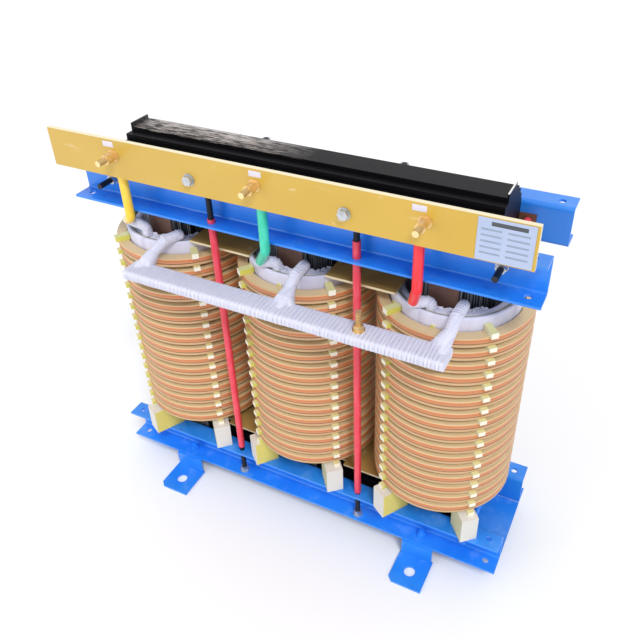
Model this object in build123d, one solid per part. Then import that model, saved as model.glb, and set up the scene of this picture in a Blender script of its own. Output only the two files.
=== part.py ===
from build123d import *
from math import cos, radians, sin, sqrt
import os

# Three-phase dry type transformer: a stepped three-limb core held by four folded
# channel clamps, three coils built of flat disc windings, a terminal board in front
# and a taped star bar that joins the inner windings.
# Millimetres. X runs along the clamps, -Y is the terminal side, Z is up and the
# feet stand on Z = 0.

# ---------------------------------------------------------------- driving sizes
LIMB_PITCH = 320.0          # between neighbouring limb centres
CORE_RADIUS = 88.0          # circle that the stepped core packs fill
PACK_DEPTHS = (27.0, 46.0, 62.0, 74.0, 81.0)   # half thickness reached by each pack
UPPER_YOKE_LIFT = 11.0      # upper yoke's middle above the middle of its clamps
END_LIP_HEIGHT = 8.0        # proud sheet at each end of the upper yoke
END_LIP_THICKNESS = 3.0

CLAMP_OVERHANG = 96.25      # clamp past the end of the yokes
CHANNEL_HEIGHT = 82.0
FLANGE_WIDTH = 48.0
CHANNEL_WALL = 5.0
CHANNEL_BEND = 4.0          # inner radius of the fold
BOARD_THICKNESS = 2.0       # pressboard between core and clamp web
CLAMP_LEVEL = 48.0          # underside of the lower clamps above the floor
CLAMP_RISE = 725.0          # from lower clamp underside to upper clamp underside

CROSS_PLATE_WIDTH = 80.0
END_HOLE_INSET = 27.0       # end holes in the flanges, from the clamp end
END_HOLE_DIAMETER = 14.0

FOOT_WIDTH = 74.0
FOOT_TAB_WIDTH = 80.0
FOOT_REACH = 80.0           # floor tab in front of the riser
FOOT_TUCK = 46.0            # tab under the flange
FOOT_THICKNESS = 5.0
FOOT_HOLE_DIAMETER = 26.0
FOOT_CORNER_CUT = 10.0      # on the left corner of each floor tab
FOOT_OUTSET = 0.0           # foot centre outside the outer limb centres

THREAD = 12.0               # M12 steel fasteners
NUT_FLATS = 18.0
NUT_HEIGHT = 10.8
HEAD_HEIGHT = 7.5
WASHER_DIAMETER = 24.0
WASHER_THICKNESS = 2.5
BOLT_CLEARANCE = 1.0        # hole over bolt, on the diameter

ROD_STANDOFF = 30.0         # tie rods in front of the clamp web
ROD_TAIL = 8.0              # thread showing past a nut
REAR_ROD_TAIL = 1.0         # the same on top of the rear tie rods
SLEEVE_DIAMETER = 16.0
SLEEVE_CLEARANCE = 1.0
SLEEVE_LEVELS = ((92.0, 738.0), (84.0, 766.0))   # left and right ends above the lower clamps' underside

STUD_CLEARANCE = 8.25       # from the end of the yokes to a stud's sleeve
STUD_TAIL = 34.0            # stud showing past the front nut

DISC_COUNT = 16
DISC_HEIGHT = 21.0
DISC_GAP = 9.2              # height of the radial spacers
DISC_OUTER = 154.0
DISC_INNER = 132.0
DISC_SIDES_OUTER = 32
DISC_SIDES_INNER = 16
COIL_RISE = 150.0           # underside of the coil stack above the lower clamps' underside
COLUMN_ANGLES = (-126.0, -47.0, 47.0, 126.0)
SPACER_WIDTH = 14.0
SPACER_OVERHANG = 8.0       # spacer past the outer face of the discs
TOP_STICK_HEIGHT = 12.0
DUCT_STICK_WIDTH = 10.0
DUCT_STICK_RISE = 4.0       # above the top disc

INNER_LAYER = (99.0, 116.0)     # inner and outer half width of each wound layer
BARRIER_TUBE = (118.0, 121.0)
OUTER_LAYER = (121.5, 129.0)
LAYER_RISE = 26.0           # taped layer above the top disc
INNER_DROP = 5.0            # inner winding below the taped layer
BARRIER_DROP = 2.0
TUBE_SIDES = 32

BLOCK_WIDTH = 38.0
BLOCK_ANGLES = ((-118.0, -47.0), (-130.0, -50.0), (-123.0, -49.0))   # left, middle and right coil, in front
BLOCK_OUTER = 173.0
BLOCK_LEDGE = 19.0
BLOCK_INNER = 90.0

STRIP_WIDTH = 56.0          # pressboard strip on each limb face
STRIP_THICKNESS = 3.0
STRIP_GAP = 7.0             # between a strip's end and the clamps
YOKE_BOARD_OVERHANG = 16.0  # past the clamp studs
WINDOW_PLATE_INSET = 75.5   # window plate's end from a limb's middle
WINDOW_PLATE_THICKNESS = 5.0
UPPER_PLATE_INSET = 87.0
UPPER_PLATE_DEPTH = 202.0
LOWER_PLATE_DEPTH = 178.0
LOWER_PLATE_CUT = (96.0, 150.0)   # narrow part between the support blocks: its length, depth of the rest

BOARD_SHORTFALL = 16.0      # terminal board against the clamps
BOARD_HEIGHT = 80.0
BOARD_WALL = 10.0
BOARD_CENTRE_X = -7.0
BOARD_STANDOFF = 20.5       # from flange edge to the back of the board
BOARD_LIFT = 7.0            # lower edge above the upper clamps
BRACKET_WIDTH = 40.0
BRACKET_WALL = 5.0
BRACKET_DEPTH = 52.0
BRACKET_HEIGHT = 58.0
BOARD_BOLT_LIFT = 31.0      # above the lower edge of the board
TERMINAL_LIFT = 48.0
TERMINAL_CENTRE_X = -16.0
TERMINAL_REACH = 45.0       # stud in front of the board
TERMINAL_TAIL = 26.0        # stud behind the board
PLATE_SIZE = (91.0, 76.0, 1.0)
PLATE_MARGIN = 5.0

LUG_WIDTH = 26.0
LUG_THICKNESS = 5.0
LUG_DROP = 26.0             # lug below its stud, where the lead starts
LEAD_DIAMETER = 19.5
LEAD_SHIFTS = (-8.0, -3.0, -15.0)   # how far each lead hangs off its terminal
LEAD_STRAIGHT = 12.0        # straight run below the underside of the clamp
LEAD_BEND = 14.0
LEAD_ENDS = ((-51.0, 124.0, 35.0), (-45.0, 125.0, 14.0), (-43.0, 125.0, 12.0))   # beside, before and over each coil
ROOT_DROP = 18.0            # taped bundle's crest below the end of the highest lead
ROOT_DIAMETER = 20.5        # taped bundle from a lead to the top of the inner winding
ROOT_BEND = 12.0
ROOT_ANGLES = (-101.0, -99.0, -98.0)

STAR_WIDTH = 52.0
STAR_THICKNESS = 20.0
STAR_GAP = 23.0             # from the discs to the back edge of the bar
STAR_RISE = 6.0             # top of the bar above the top disc
STAR_BOLT_OFFSET = 45.0     # from the right tie rod
STAR_BOLT_RISE = 42.0
ARM_DIAMETER = 22.0
ARM_TIPS = ((116.0, -59.0), (104.0, -68.0), (104.0, -66.0))   # radius and angle from each coil's axis
ARM_ROOTS = (20.0, 40.0, 39.0)   # where the arms leave the bar, from each coil's axis
ARM_BEND = 20.0
STAR_OVERHANG = 14.0        # bar past the outer arms
ARM_SHOULDER = 133.0        # where an arm levels out, in front of the core's middle plane

# ---------------------------------------------------------------- derived sizes
COIL_CENTRES = (-LIMB_PITCH, 0.0, LIMB_PITCH)
WINDOW_PLATE_LENGTH = LIMB_PITCH - 2 * WINDOW_PLATE_INSET
COIL_NAMES = ("left", "middle", "right")
WINDOWS_X = (-LIMB_PITCH / 2, LIMB_PITCH / 2)
PACKS = [(depth, sqrt(CORE_RADIUS ** 2 - depth ** 2)) for depth in PACK_DEPTHS]
YOKE_END = LIMB_PITCH + PACKS[0][1]
WEB_BACK = PACK_DEPTHS[-1] + BOARD_THICKNESS
FLANGE_EDGE = WEB_BACK + FLANGE_WIDTH
FLANGE_MIDDLE = WEB_BACK + FLANGE_WIDTH / 2
ROD_LINE = WEB_BACK + ROD_STANDOFF
ROD_OFFSET = LIMB_PITCH / 2
FOOT_OFFSET = LIMB_PITCH + FOOT_OUTSET
UPPER_CLAMP_LEVEL = CLAMP_LEVEL + CLAMP_RISE
UPPER_CLAMP_TOP = UPPER_CLAMP_LEVEL + CHANNEL_HEIGHT
LOWER_CLAMP_TOP = CLAMP_LEVEL + CHANNEL_HEIGHT
LOWER_CLAMP_MIDDLE = CLAMP_LEVEL + CHANNEL_HEIGHT / 2
UPPER_CLAMP_MIDDLE = UPPER_CLAMP_LEVEL + CHANNEL_HEIGHT / 2
LOWER_YOKE_LEVEL = LOWER_CLAMP_MIDDLE
UPPER_YOKE_LEVEL = UPPER_CLAMP_MIDDLE + UPPER_YOKE_LIFT
CLAMP_END = YOKE_END + CLAMP_OVERHANG
STUD_X = YOKE_END + STUD_CLEARANCE + SLEEVE_DIAMETER / 2

COIL_LEVEL = CLAMP_LEVEL + COIL_RISE
DISC_PITCH = DISC_HEIGHT + DISC_GAP
FIRST_DISC = COIL_LEVEL + DISC_GAP
DISC_TOP = FIRST_DISC + (DISC_COUNT - 1) * DISC_PITCH + DISC_HEIGHT
LAYER_TOP = DISC_TOP + LAYER_RISE
INNER_TOP = LAYER_TOP - INNER_DROP
SPACER_OUTER = DISC_OUTER + SPACER_OVERHANG

BOARD_LENGTH = 2 * CLAMP_END - BOARD_SHORTFALL
BOARD_BACK = -(FLANGE_EDGE + BOARD_STANDOFF)
BOARD_FRONT = BOARD_BACK - BOARD_WALL
BOARD_LEVEL = UPPER_CLAMP_TOP + BOARD_LIFT
BOARD_BOLT_LEVEL = BOARD_LEVEL + BOARD_BOLT_LIFT
TERMINAL_LEVEL = BOARD_LEVEL + TERMINAL_LIFT
TERMINALS_X = [TERMINAL_CENTRE_X + k * LIMB_PITCH for k in (-1, 0, 1)]
STAR_TOP = DISC_TOP + STAR_RISE
STAR_LEVEL = STAR_TOP - STAR_THICKNESS / 2
STAR_BOLT_X = ROD_OFFSET + STAR_BOLT_OFFSET
ARMS_X = [x + offset for x, offset in zip(COIL_CENTRES, ARM_ROOTS)]
STAR_LINE = -(DISC_OUTER + STAR_GAP + STAR_WIDTH / 2)


# ---------------------------------------------------------------- small helpers
def block(x_range, y_range, z_range):
    """A rectangular solid between two values on each axis."""
    sizes = [high - low for low, high in (x_range, y_range, z_range)]
    middle = [(low + high) / 2 for low, high in (x_range, y_range, z_range)]
    return Pos(*middle) * Box(*sizes)


def upright(diameter, x, y, low, high):
    return Pos(x, y, (low + high) / 2) * Cylinder(diameter / 2, high - low)


def along_y(diameter, x, z, low, high):
    """A round bar that runs from front to back."""
    bar = Rot(90, 0, 0) * Cylinder(diameter / 2, high - low)
    return Pos(x, (low + high) / 2, z) * bar


def hexagon(height, bore=THREAD):
    """A nut, or a bolt head where the bore is 0, standing on its lower face."""
    outline = RegularPolygon(NUT_FLATS / 2, 6, major_radius=False)
    if bore:
        outline -= Circle(bore / 2)
    return extrude(outline, height)


def nut_up(x, y, z, height=NUT_HEIGHT, bore=THREAD):
    return Pos(x, y, z) * hexagon(height, bore)


def nut_forward(x, y, z, height=NUT_HEIGHT, bore=THREAD):
    """A nut that stands on the plane y and reaches towards -Y."""
    return Pos(x, y, z) * Rot(90, 0, 0) * hexagon(height, bore)


def washer_up(x, y, z):
    ring = Circle(WASHER_DIAMETER / 2) - Circle(THREAD / 2)
    return Pos(x, y, z) * extrude(ring, WASHER_THICKNESS)


def washer_forward(x, y, z):
    ring = Circle(WASHER_DIAMETER / 2) - Circle(THREAD / 2)
    return Pos(x, y, z) * Rot(90, 0, 0) * extrude(ring, WASHER_THICKNESS)


def round_tube(x, radii, low, high):
    """A wound or rolled tube round the limb at x."""
    inner, outer = radii
    turn = 180 / TUBE_SIDES
    ring = RegularPolygon(outer, TUBE_SIDES, major_radius=False, rotation=turn)
    ring -= RegularPolygon(inner, TUBE_SIDES, major_radius=False, rotation=turn)
    return Pos(x, 0, low) * extrude(ring, high - low)


def radial_bar(x, angle, inner, outer, width, low, high):
    """A bar that points away from the axis of the limb at x."""
    bar = Pos((inner + outer) / 2, 0, (low + high) / 2) * Box(outer - inner, width, high - low)
    return Pos(x, 0, 0) * Rot(0, 0, angle) * bar


def mirrored(solids):
    """The given solids and their copies on the rear side."""
    front = list(solids)
    return front + [mirror(solid, Plane.XZ) for solid in front]


# ---------------------------------------------------------------- core
def yoke(level):
    """Stepped stack of sheets along the row of limbs."""
    section = Sketch()
    for depth, half_width in PACKS:
        section += Rectangle(2 * depth, 2 * half_width)
    bar = extrude(Plane.YZ * section, 2 * YOKE_END)
    return Pos(-YOKE_END, 0, level) * bar


def upper_yoke():
    body = yoke(UPPER_YOKE_LEVEL)
    depth, half_width = PACKS[0]
    top = UPPER_YOKE_LEVEL + half_width
    for side in (-1, 1):
        ends = sorted((side * YOKE_END, side * (YOKE_END - END_LIP_THICKNESS)))
        body += block(ends, (-depth, depth), (top, top + END_LIP_HEIGHT))
    return body


def limb(x):
    """One wound leg: every pack reaches from the lower to the upper yoke pack."""
    body = Part()
    previous = 0.0
    for depth, half_width in PACKS:
        low = LOWER_YOKE_LEVEL + half_width
        high = UPPER_YOKE_LEVEL - half_width
        sides = ((-depth, -previous), (previous, depth)) if previous else ((-depth, depth),)
        for side in sides:
            body += block((x - half_width, x + half_width), side, (low, high))
        previous = depth
    return body


def limb_strips():
    """Pressboard strips on the front and rear face of each limb."""
    front = (-PACK_DEPTHS[-1] - STRIP_THICKNESS, -PACK_DEPTHS[-1])
    half = STRIP_WIDTH / 2
    levels = (LOWER_CLAMP_TOP + STRIP_GAP, UPPER_CLAMP_LEVEL - STRIP_GAP)
    return mirrored(block((x - half, x + half), front, levels) for x in COIL_CENTRES)


def yoke_boards():
    """Pressboard between each yoke and the clamp webs."""
    boards = []
    half = STUD_X + YOKE_BOARD_OVERHANG
    for level in (LOWER_CLAMP_MIDDLE, UPPER_CLAMP_MIDDLE):
        span = (level - YOKE_BOARD_OVERHANG, level + YOKE_BOARD_OVERHANG)
        strip = block((-half, half), (-WEB_BACK, -PACK_DEPTHS[-1]), span)
        for x in (-STUD_X, STUD_X):
            strip -= along_y(THREAD + BOLT_CLEARANCE, x, level, -WEB_BACK - 1, 0)
        boards.append(strip)
    return mirrored(boards)


def window_plate(x, level, length, depth):
    """Flat insulation between neighbouring coils, notched round the widest core pack."""
    span = (level, level + WINDOW_PLATE_THICKNESS)
    plate = block((x - length / 2, x + length / 2), (-depth / 2, depth / 2), span)
    pack_depth, half_width = PACKS[0]
    for limb_x in (x - LIMB_PITCH / 2, x + LIMB_PITCH / 2):
        plate -= block((limb_x - half_width, limb_x + half_width), (-pack_depth, pack_depth), span)
    return plate


def upper_window_plates():
    """Plates that lie on the taped layers of neighbouring coils."""
    length = LIMB_PITCH - 2 * UPPER_PLATE_INSET
    return [window_plate(x, LAYER_TOP, length, UPPER_PLATE_DEPTH) for x in WINDOWS_X]


def lower_window_plates():
    """Cross-shaped, so that they clear the support blocks."""
    level = LOWER_YOKE_LEVEL + PACKS[0][1]
    tongue, depth = LOWER_PLATE_CUT
    return [window_plate(x, level, WINDOW_PLATE_LENGTH, depth) + window_plate(x, level, tongue, LOWER_PLATE_DEPTH)
            for x in WINDOWS_X]


# ---------------------------------------------------------------- clamps and feet
def channel(level):
    """Front folded channel with its web on the core and both flanges outwards."""
    wall, width, height = CHANNEL_WALL, FLANGE_WIDTH, CHANNEL_HEIGHT
    section = Pos(wall / 2, height / 2) * Rectangle(wall, height)
    section += Pos(width / 2, wall / 2) * Rectangle(width, wall)
    section += Pos(width / 2, height - wall / 2) * Rectangle(width, wall)
    inner = section.vertices().filter_by(lambda v: abs(v.X - wall) < 0.01 and wall / 2 < v.Y < height - wall / 2)
    section = fillet(inner, CHANNEL_BEND)
    outer = section.vertices().filter_by(lambda v: abs(v.X) < 0.01)
    section = fillet(outer, CHANNEL_BEND + wall)
    bar = extrude(Plane.YZ * section, 2 * CLAMP_END)
    return mirror(Pos(-CLAMP_END, WEB_BACK, level) * bar, Plane.XZ)


def drilled_clamp(level):
    """A front clamp with its end holes, tie rod holes and stud holes."""
    bar = channel(level)
    through = (level - 1, level + CHANNEL_HEIGHT + 1)
    end = CLAMP_END - END_HOLE_INSET
    for x in (-end, end):
        bar -= upright(END_HOLE_DIAMETER, x, -FLANGE_MIDDLE, *through)
    for x in (-ROD_OFFSET, ROD_OFFSET):
        bar -= upright(SLEEVE_DIAMETER + SLEEVE_CLEARANCE, x, -ROD_LINE, *through)
    for x in (-STUD_X, STUD_X):
        middle = level + CHANNEL_HEIGHT / 2
        bar -= along_y(THREAD + BOLT_CLEARANCE, x, middle, -WEB_BACK - 10, -WEB_BACK + 1)
    return bar


def upper_clamp():
    return drilled_clamp(UPPER_CLAMP_LEVEL)


def lower_clamp():
    bar = drilled_clamp(CLAMP_LEVEL)
    for x in (-FOOT_OFFSET, FOOT_OFFSET):
        hole = (CLAMP_LEVEL - 1, CLAMP_LEVEL + CHANNEL_WALL + 1)
        bar -= upright(THREAD + BOLT_CLEARANCE, x, -FLANGE_MIDDLE, *hole)
    return bar


def cross_plates():
    """Plates welded between the lower clamps at both ends."""
    levels = (CLAMP_LEVEL, CLAMP_LEVEL + CHANNEL_WALL)
    spans = ((-CLAMP_END, CROSS_PLATE_WIDTH - CLAMP_END), (CLAMP_END - CROSS_PLATE_WIDTH, CLAMP_END))
    return [block(span, (-WEB_BACK, WEB_BACK), levels) for span in spans]


def foot(x):
    """Z-shaped strip: tab under the flange, riser and floor tab with its anchor hole."""
    half = FOOT_WIDTH / 2
    wall = FOOT_THICKNESS
    riser_front = -FLANGE_EDGE - wall
    tip = riser_front - FOOT_REACH
    half_tab = FOOT_TAB_WIDTH / 2
    body = block((x - half, x + half), (riser_front, -FLANGE_EDGE + FOOT_TUCK), (CLAMP_LEVEL - wall, CLAMP_LEVEL))
    body += block((x - half, x + half), (riser_front, -FLANGE_EDGE), (0, CLAMP_LEVEL))
    body += block((x - half_tab, x + half_tab), (tip, -FLANGE_EDGE), (0, wall))
    corner = body.edges().filter_by(Axis.Z).filter_by(lambda e: abs(e.center().Y - tip) < 0.01).sort_by(Axis.X)[0]
    body = chamfer(corner, FOOT_CORNER_CUT)
    body -= upright(FOOT_HOLE_DIAMETER, x, riser_front - FOOT_REACH / 2, -1, wall + 1)
    body -= upright(THREAD + BOLT_CLEARANCE, x, -FLANGE_MIDDLE, CLAMP_LEVEL - wall - 1, CLAMP_LEVEL + 1)
    return body


def foot_bolts():
    """Hexagon bolts from below through foot and flange."""
    top = CLAMP_LEVEL + CHANNEL_WALL + NUT_HEIGHT + ROD_TAIL
    underside = CLAMP_LEVEL - FOOT_THICKNESS
    bolts = []
    for x in (-FOOT_OFFSET, FOOT_OFFSET):
        head = nut_up(x, -FLANGE_MIDDLE, underside - HEAD_HEIGHT, HEAD_HEIGHT, 0)
        bolts.append(head + upright(THREAD, x, -FLANGE_MIDDLE, underside - 1, top))
    return mirrored(bolts)


def foot_nuts():
    level = CLAMP_LEVEL + CHANNEL_WALL
    return mirrored(nut_up(x, -FLANGE_MIDDLE, level) for x in (-FOOT_OFFSET, FOOT_OFFSET))


# ---------------------------------------------------------------- rods and studs
def front_and_rear_rods():
    """Place of each tie rod: x, y and the index of its sleeve levels."""
    return [(x, y, k) for y in (-ROD_LINE, ROD_LINE) for k, x in enumerate((-ROD_OFFSET, ROD_OFFSET))]


def rod_head(y):
    """Top of what the upper nut of a tie rod sits on."""
    return UPPER_CLAMP_TOP + (BRACKET_WALL if y < 0 else 0.0)


def tie_rods():
    low = CLAMP_LEVEL - WASHER_THICKNESS - NUT_HEIGHT - ROD_TAIL / 2
    rods = []
    for x, y, _ in front_and_rear_rods():
        tail = ROD_TAIL if y < 0 else REAR_ROD_TAIL
        rods.append(upright(THREAD, x, y, low, rod_head(y) + WASHER_THICKNESS + NUT_HEIGHT + tail))
    return rods


def rod_sleeves():
    sleeves = []
    for x, y, k in front_and_rear_rods():
        low, high = (CLAMP_LEVEL + level for level in SLEEVE_LEVELS[k])
        tube = upright(SLEEVE_DIAMETER, x, y, low, high)
        sleeves.append(tube - upright(THREAD, x, y, low - 1, high + 1))
    return sleeves


def rod_nuts():
    nuts = []
    for x, y, _ in front_and_rear_rods():
        nuts.append(nut_up(x, y, rod_head(y) + WASHER_THICKNESS))
        nuts.append(nut_up(x, y, CLAMP_LEVEL + CHANNEL_WALL + WASHER_THICKNESS))
        nuts.append(nut_up(x, y, CLAMP_LEVEL - WASHER_THICKNESS - NUT_HEIGHT))
    return nuts


def rod_washers():
    washers = []
    for x, y, _ in front_and_rear_rods():
        washers.append(washer_up(x, y, rod_head(y)))
        washers.append(washer_up(x, y, CLAMP_LEVEL + CHANNEL_WALL))
        washers.append(washer_up(x, y, CLAMP_LEVEL - WASHER_THICKNESS))
    return washers


def stud_places():
    return [(x, z) for x in (-STUD_X, STUD_X) for z in (LOWER_CLAMP_MIDDLE, UPPER_CLAMP_MIDDLE)]


def clamp_studs():
    """Threaded studs that draw the two clamps of each yoke together."""
    seat = WEB_BACK + CHANNEL_WALL + WASHER_THICKNESS + NUT_HEIGHT
    upper = [along_y(THREAD, x, z, -seat - STUD_TAIL, seat + ROD_TAIL)
             for x, z in stud_places() if z == UPPER_CLAMP_MIDDLE]
    lower = [along_y(THREAD, x, z, -seat - ROD_TAIL, seat + ROD_TAIL)
             for x, z in stud_places() if z == LOWER_CLAMP_MIDDLE]
    return upper + lower


def stud_sleeves():
    sleeves = []
    for x, z in stud_places():
        tube = along_y(SLEEVE_DIAMETER, x, z, -PACK_DEPTHS[-1], PACK_DEPTHS[-1])
        sleeves.append(tube - along_y(THREAD, x, z, -WEB_BACK, WEB_BACK))
    return sleeves


def stud_nuts():
    seat = -WEB_BACK - CHANNEL_WALL - WASHER_THICKNESS
    return mirrored(nut_forward(x, seat, z) for x, z in stud_places())


def stud_washers():
    seat = -WEB_BACK - CHANNEL_WALL
    return mirrored(washer_forward(x, seat, z) for x, z in stud_places())


# ---------------------------------------------------------------- coils
def disc_winding(x):
    """The outer winding: flat discs with an open duct over each."""
    ring = RegularPolygon(DISC_OUTER, DISC_SIDES_OUTER)
    ring -= RegularPolygon(DISC_INNER, DISC_SIDES_INNER, major_radius=False, rotation=180 / DISC_SIDES_INNER)
    disc = extrude(ring, DISC_HEIGHT)
    return [Pos(x, 0, FIRST_DISC + k * DISC_PITCH) * disc for k in range(DISC_COUNT)]


def spacers(x):
    """Radial spacers between the discs, with longer sticks on the top disc."""
    pieces = []
    for angle in COLUMN_ANGLES:
        for k in range(DISC_COUNT):
            low = COIL_LEVEL + k * DISC_PITCH
            pieces.append(radial_bar(x, angle, DISC_INNER, SPACER_OUTER, SPACER_WIDTH, low, low + DISC_GAP))
        high = DISC_TOP + TOP_STICK_HEIGHT
        pieces.append(radial_bar(x, angle, DISC_INNER - 2, SPACER_OUTER, SPACER_WIDTH, DISC_TOP, high))
    return pieces


def duct_sticks(x):
    """Upright sticks that hold the discs off the taped layer."""
    angles = [45.0 * k for k in range(8)]
    top = DISC_TOP + DUCT_STICK_RISE
    return [radial_bar(x, angle, OUTER_LAYER[1], DISC_INNER, DUCT_STICK_WIDTH, COIL_LEVEL, top)
            for angle in angles]


def support_blocks():
    blocks = []
    for x, angles in zip(COIL_CENTRES, BLOCK_ANGLES):
        blocks += [support_block(x, angle) for angle in angles]
    return mirrored(blocks)


def support_block(x, angle):
    """L-shaped block on a lower clamp flange, with a ledge in over the yoke."""
    half = BLOCK_WIDTH / 2
    clear = WEB_BACK - 6.0
    leg_inner = (clear + half * abs(cos(radians(angle)))) / abs(sin(radians(angle)))
    leg = radial_bar(x, angle, leg_inner, BLOCK_OUTER, BLOCK_WIDTH, LOWER_CLAMP_TOP, COIL_LEVEL)
    ledge = radial_bar(x, angle, BLOCK_INNER, BLOCK_OUTER, BLOCK_WIDTH, COIL_LEVEL - BLOCK_LEDGE, COIL_LEVEL)
    return leg + ledge


# ---------------------------------------------------------------- terminal board
def terminal_board():
    half = BOARD_LENGTH / 2
    levels = (BOARD_LEVEL, BOARD_LEVEL + BOARD_HEIGHT)
    panel = block((BOARD_CENTRE_X - half, BOARD_CENTRE_X + half), (BOARD_FRONT, BOARD_BACK), levels)
    for x in TERMINALS_X:
        panel -= along_y(THREAD, x, TERMINAL_LEVEL, BOARD_FRONT - 1, BOARD_BACK + 1)
    for x in (-ROD_OFFSET, ROD_OFFSET):
        panel -= along_y(THREAD + BOLT_CLEARANCE, x, BOARD_BOLT_LEVEL, BOARD_FRONT - 1, BOARD_BACK + 1)
    return panel


def board_brackets():
    """Folded brackets under the front tie rod nuts that carry the board."""
    brackets = []
    for x in (-ROD_OFFSET, ROD_OFFSET):
        span = (x - BRACKET_WIDTH / 2, x + BRACKET_WIDTH / 2)
        foot_range = (BOARD_BACK, BOARD_BACK + BRACKET_DEPTH)
        body = block(span, foot_range, (UPPER_CLAMP_TOP, UPPER_CLAMP_TOP + BRACKET_WALL))
        wall = (BOARD_BACK, BOARD_BACK + BRACKET_WALL)
        body += block(span, wall, (UPPER_CLAMP_TOP, UPPER_CLAMP_TOP + BRACKET_HEIGHT))
        body -= upright(THREAD + BOLT_CLEARANCE, x, -ROD_LINE, UPPER_CLAMP_TOP - 1, UPPER_CLAMP_TOP + BRACKET_WALL + 1)
        body -= along_y(THREAD + BOLT_CLEARANCE, x, BOARD_BOLT_LEVEL, BOARD_BACK - 1, BOARD_BACK + BRACKET_WALL + 1)
        brackets.append(body)
    return brackets


def board_bolts():
    bolts = []
    seat = BOARD_FRONT - WASHER_THICKNESS
    tail = BOARD_BACK + BRACKET_WALL + NUT_HEIGHT + 3.0
    for x in (-ROD_OFFSET, ROD_OFFSET):
        head = nut_forward(x, seat, BOARD_BOLT_LEVEL, HEAD_HEIGHT, 0)
        bolts.append(head + along_y(THREAD, x, BOARD_BOLT_LEVEL, seat - 1, tail))
    return bolts


def board_nuts():
    seat = BOARD_BACK + BRACKET_WALL + NUT_HEIGHT
    return [nut_forward(x, seat, BOARD_BOLT_LEVEL) for x in (-ROD_OFFSET, ROD_OFFSET)]


def board_washers():
    return [washer_forward(x, BOARD_FRONT, BOARD_BOLT_LEVEL) for x in (-ROD_OFFSET, ROD_OFFSET)]


def terminal_studs():
    return [along_y(THREAD, x, TERMINAL_LEVEL, BOARD_FRONT - TERMINAL_REACH, BOARD_BACK + TERMINAL_TAIL)
            for x in TERMINALS_X]


def terminal_nuts():
    """Brass nuts: two in front of the board and one behind the lug."""
    nuts = []
    lug_back = BOARD_BACK + LUG_THICKNESS
    for x in TERMINALS_X:
        seat = BOARD_FRONT - WASHER_THICKNESS
        nuts.append(nut_forward(x, seat, TERMINAL_LEVEL))
        nuts.append(nut_forward(x, seat - NUT_HEIGHT, TERMINAL_LEVEL))
        nuts.append(nut_forward(x, lug_back + NUT_HEIGHT, TERMINAL_LEVEL))
    return nuts


def terminal_washers():
    return [washer_forward(x, BOARD_FRONT, TERMINAL_LEVEL) for x in TERMINALS_X]


def nameplate():
    length, height, thickness = PLATE_SIZE
    right = BOARD_CENTRE_X + BOARD_LENGTH / 2 - PLATE_MARGIN
    middle = BOARD_LEVEL + BOARD_HEIGHT / 2
    levels = (middle - height / 2, middle + height / 2)
    return block((right - length, right), (BOARD_FRONT - thickness, BOARD_FRONT), levels)


# ---------------------------------------------------------------- leads and star bar
def lead_lugs():
    """Copper palms behind the board, one on each terminal stud."""
    lugs = []
    for x in TERMINALS_X:
        half = LUG_WIDTH / 2
        palm = block((x - half, x + half), (BOARD_BACK, BOARD_BACK + LUG_THICKNESS),
                     (TERMINAL_LEVEL - LUG_DROP, TERMINAL_LEVEL + half))
        lugs.append(palm - along_y(THREAD, x, TERMINAL_LEVEL, BOARD_BACK - 1, BOARD_BACK + LUG_THICKNESS + 1))
    return lugs


def on_rim(x, radius, angle, z):
    """A point at a radius and an angle round the limb at x."""
    return (x + radius * cos(radians(angle)), radius * sin(radians(angle)), z)


def lead_end(k):
    """Where a lead runs into its taped bundle."""
    beside, before, over = LEAD_ENDS[k]
    return (COIL_CENTRES[k] + beside, -before, LAYER_TOP + over)


def lead_root(k):
    """Taped bundle from the end of a lead over the rim and down on the inner winding."""
    x = COIL_CENTRES[k]
    middle = (INNER_LAYER[0] + INNER_LAYER[1]) / 2
    end = lead_end(k)
    foot = on_rim(x, middle, ROOT_ANGLES[k], INNER_TOP)
    over = on_rim(x, middle, ROOT_ANGLES[k], max(LAYER_TOP + ROOT_DIAMETER / 2 + 1, end[2] - ROOT_DROP))
    path = FilletPolyline(end, over, foot, radius=ROOT_BEND)
    body = sweep(Plane(path @ 0, z_dir=path % 0) * Circle(ROOT_DIAMETER / 2), path)
    return body + Pos(*end) * Sphere(ROOT_DIAMETER / 2)


def phase_lead(k):
    """Sleeved cable from its lug down in front of the clamp and back to its coil."""
    x = TERMINALS_X[k] + LEAD_SHIFTS[k]
    y = BOARD_BACK + LEAD_DIAMETER / 2
    corner = (x, y, UPPER_CLAMP_LEVEL - LEAD_STRAIGHT)
    path = FilletPolyline((x, y, TERMINAL_LEVEL - LUG_DROP), corner, lead_end(k), radius=LEAD_BEND)
    cable = sweep(Plane(path @ 0, z_dir=path % 0) * Circle(LEAD_DIAMETER / 2), path)
    return cable - lead_root(k)


def star_arm(k):
    """Taped arm from the bar up and back to the rim of an inner winding."""
    root_x = ARMS_X[k]
    level = LAYER_TOP + ARM_DIAMETER / 2
    tip = on_rim(COIL_CENTRES[k], *ARM_TIPS[k], level)
    share = (STAR_LINE + ARM_SHOULDER) / (STAR_LINE - tip[1])
    shoulder = (root_x + share * (tip[0] - root_x), -ARM_SHOULDER, level)
    path = FilletPolyline((root_x, STAR_LINE, STAR_LEVEL), shoulder, tip, radius=ARM_BEND)
    arm = sweep(Plane(path @ 0, z_dir=path % 0) * Circle(ARM_DIAMETER / 2), path)
    return arm + Pos(*tip) * Sphere(ARM_DIAMETER / 2)


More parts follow.
